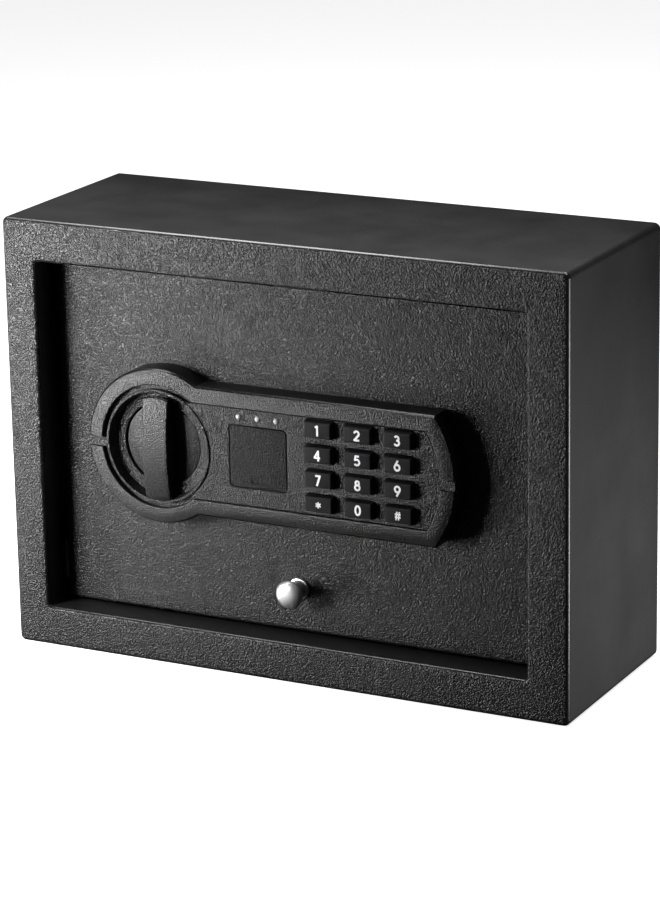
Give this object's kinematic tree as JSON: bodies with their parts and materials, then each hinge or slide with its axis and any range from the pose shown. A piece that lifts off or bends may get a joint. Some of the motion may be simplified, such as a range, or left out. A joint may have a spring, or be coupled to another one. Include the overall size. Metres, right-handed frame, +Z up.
{
  "type": "safe",
  "caption": "Shallow rectangular steel drawer safe with a recessed top-hinged door, keypad lock with turn knob, sliding bolts and a small pull knob.",
  "frame": {"origin": "centre of the base at the middle of the cabinet's depth", "axes": "+X to the right across the front, +Y from the door into the cabinet, +Z up"},
  "size_m": [0.3, 0.11, 0.218],
  "materials": {
    "powder_coat": "fine-textured black powder coat",
    "door_coat": "fine-textured black powder coat",
    "felt": "short-pile felt",
    "zinc_steel": "zinc-plated sheet steel",
    "fastener_steel": "zinc-plated",
    "bolt_steel": "bright ground steel",
    "satin_metal": "satin bead-blasted",
    "housing_plastic": "spark-eroded texture",
    "fascia_plastic": "spark-eroded texture",
    "knob_plastic": "fine texture",
    "key_rubber": "matte silicone with white numerals",
    "mat_rubber": "matte silicone",
    "lens_clear": "clear moulded lens",
    "circuit_board": "solder mask",
    "lock_brass": "machined",
    "nylon": "natural nylon",
    "coil_tape": "wound wire under tape",
    "cover_coat": "satin black paint",
    "tray_plastic": "moulded",
    "contact_metal": "nickel-plated",
    "cell_sleeve": "printed sleeve, plain",
    "red_plastic": "moulded",
    "wire_sleeve": "PVC"
  },
  "bodies": {
    "cabinet": {"cabinet_shell": "powder_coat", "door_frame": "powder_coat", "back_panel": "powder_coat", "interior_mat": "felt", "hinge_brackets": "zinc_steel", "hinge_pins": "fastener_steel", "door_stops": "zinc_steel"},
    "door": {"door_panel": "door_coat", "bolt_guide": "zinc_steel", "guide_studs": "fastener_steel", "pull_knob": "satin_metal", "pull_knob_screw": "fastener_steel", "control_housing": "housing_plastic", "housing_screws": "fastener_steel", "control_fascia": "fascia_plastic", "indicator_lenses": "lens_clear", "key_mat": "mat_rubber", "keypad_board": "circuit_board", "override_lock_body": "bolt_steel", "lock_nut": "fastener_steel", "knob_bushing": "nylon", "solenoid_frame": "zinc_steel", "solenoid_coil": "coil_tape", "plunger_spring": "fastener_steel", "control_board": "circuit_board", "board_standoffs": "nylon", "inner_cover": "cover_coat", "cover_screws": "fastener_steel", "battery_tray": "tray_plastic", "battery_contacts": "contact_metal", "batteries": "cell_sleeve", "wiring_loom": "wire_sleeve"},
    "knob": {"turn_knob": "knob_plastic", "knob_shaft": "bolt_steel", "crank": "zinc_steel", "crank_pin": "fastener_steel", "retaining_clip": "fastener_steel"},
    "bolts": {"bolt_carriage": "zinc_steel", "carriage_plates": "zinc_steel", "bolt_left": "bolt_steel", "bolt_right": "bolt_steel"},
    "plunger": {"solenoid_plunger": "bolt_steel"},
    "override_cover": {"override_cover": "fascia_plastic"},
    "lock_plug": {"override_plug": "lock_brass", "override_cam": "zinc_steel", "cam_screw": "fastener_steel"},
    "battery_cover": {"battery_cover": "cover_coat"},
    "reset_button": {"reset_button": "red_plastic"},
    "key_1": {"key_1": "key_rubber"},
    "key_2": {"key_2": "key_rubber"},
    "key_3": {"key_3": "key_rubber"},
    "key_4": {"key_4": "key_rubber"},
    "key_5": {"key_5": "key_rubber"},
    "key_6": {"key_6": "key_rubber"},
    "key_7": {"key_7": "key_rubber"},
    "key_8": {"key_8": "key_rubber"},
    "key_9": {"key_9": "key_rubber"},
    "key_star": {"key_star": "key_rubber"},
    "key_0": {"key_0": "key_rubber"},
    "key_hash": {"key_hash": "key_rubber"}
  },
  "joints": [
    {"name": "door_hinge", "type": "hinge", "parent": "cabinet", "child": "door", "pos_m": [0, -0.032, 0.1795], "axis": [-1, 0, 0], "range_deg": [0, 100]},
    {"name": "knob_turn", "type": "hinge", "parent": "door", "child": "knob", "pos_m": [-0.068, -0.0456, 0.1102], "axis": [0, 1, 0], "range_deg": [0, 70]},
    {"name": "bolt_slide", "type": "slide", "parent": "door", "child": "bolts", "axis": [0, 0, -1], "range_m": [0, 0.01262]},
    {"name": "plunger_slide", "type": "slide", "parent": "door", "child": "plunger", "axis": [-1, 0, 0], "range_m": [0, 0.004], "stiffness_N_per_m": 60, "springref_m": 0.006},
    {"name": "override_cover_lift", "type": "slide", "parent": "door", "child": "override_cover", "axis": [0, -1, 0], "range_m": [0, 0.02]},
    {"name": "override_turn", "type": "hinge", "parent": "door", "child": "lock_plug", "pos_m": [-0.0121, -0.046, 0.1105], "axis": [0, 1, 0], "range_deg": [0, 90]},
    {"name": "battery_cover_lift", "type": "slide", "parent": "door", "child": "battery_cover", "axis": [0, 1, 0], "range_m": [0, 0.02]},
    {"name": "reset_press", "type": "slide", "parent": "door", "child": "reset_button", "axis": [0, -1, 0], "range_m": [0, 0.001], "stiffness_N_per_m": 400},
    {"name": "press_1", "type": "slide", "parent": "door", "child": "key_1", "axis": [0, 1, 0], "range_m": [0, 0.0012], "stiffness_N_per_m": 400},
    {"name": "press_2", "type": "slide", "parent": "door", "child": "key_2", "axis": [0, 1, 0], "range_m": [0, 0.0012], "stiffness_N_per_m": 400},
    {"name": "press_3", "type": "slide", "parent": "door", "child": "key_3", "axis": [0, 1, 0], "range_m": [0, 0.0012], "stiffness_N_per_m": 400},
    {"name": "press_4", "type": "slide", "parent": "door", "child": "key_4", "axis": [0, 1, 0], "range_m": [0, 0.0012], "stiffness_N_per_m": 400},
    {"name": "press_5", "type": "slide", "parent": "door", "child": "key_5", "axis": [0, 1, 0], "range_m": [0, 0.0012], "stiffness_N_per_m": 400},
    {"name": "press_6", "type": "slide", "parent": "door", "child": "key_6", "axis": [0, 1, 0], "range_m": [0, 0.0012], "stiffness_N_per_m": 400},
    {"name": "press_7", "type": "slide", "parent": "door", "child": "key_7", "axis": [0, 1, 0], "range_m": [0, 0.0012], "stiffness_N_per_m": 400},
    {"name": "press_8", "type": "slide", "parent": "door", "child": "key_8", "axis": [0, 1, 0], "range_m": [0, 0.0012], "stiffness_N_per_m": 400},
    {"name": "press_9", "type": "slide", "parent": "door", "child": "key_9", "axis": [0, 1, 0], "range_m": [0, 0.0012], "stiffness_N_per_m": 400},
    {"name": "press_star", "type": "slide", "parent": "door", "child": "key_star", "axis": [0, 1, 0], "range_m": [0, 0.0012], "stiffness_N_per_m": 400},
    {"name": "press_0", "type": "slide", "parent": "door", "child": "key_0", "axis": [0, 1, 0], "range_m": [0, 0.0012], "stiffness_N_per_m": 400},
    {"name": "press_hash", "type": "slide", "parent": "door", "child": "key_hash", "axis": [0, 1, 0], "range_m": [0, 0.0012], "stiffness_N_per_m": 400}
  ],
  "couplings": [
    {"joint": "knob_turn", "follows": "bolt_slide", "rad_per_m": 96.819}
  ]
}
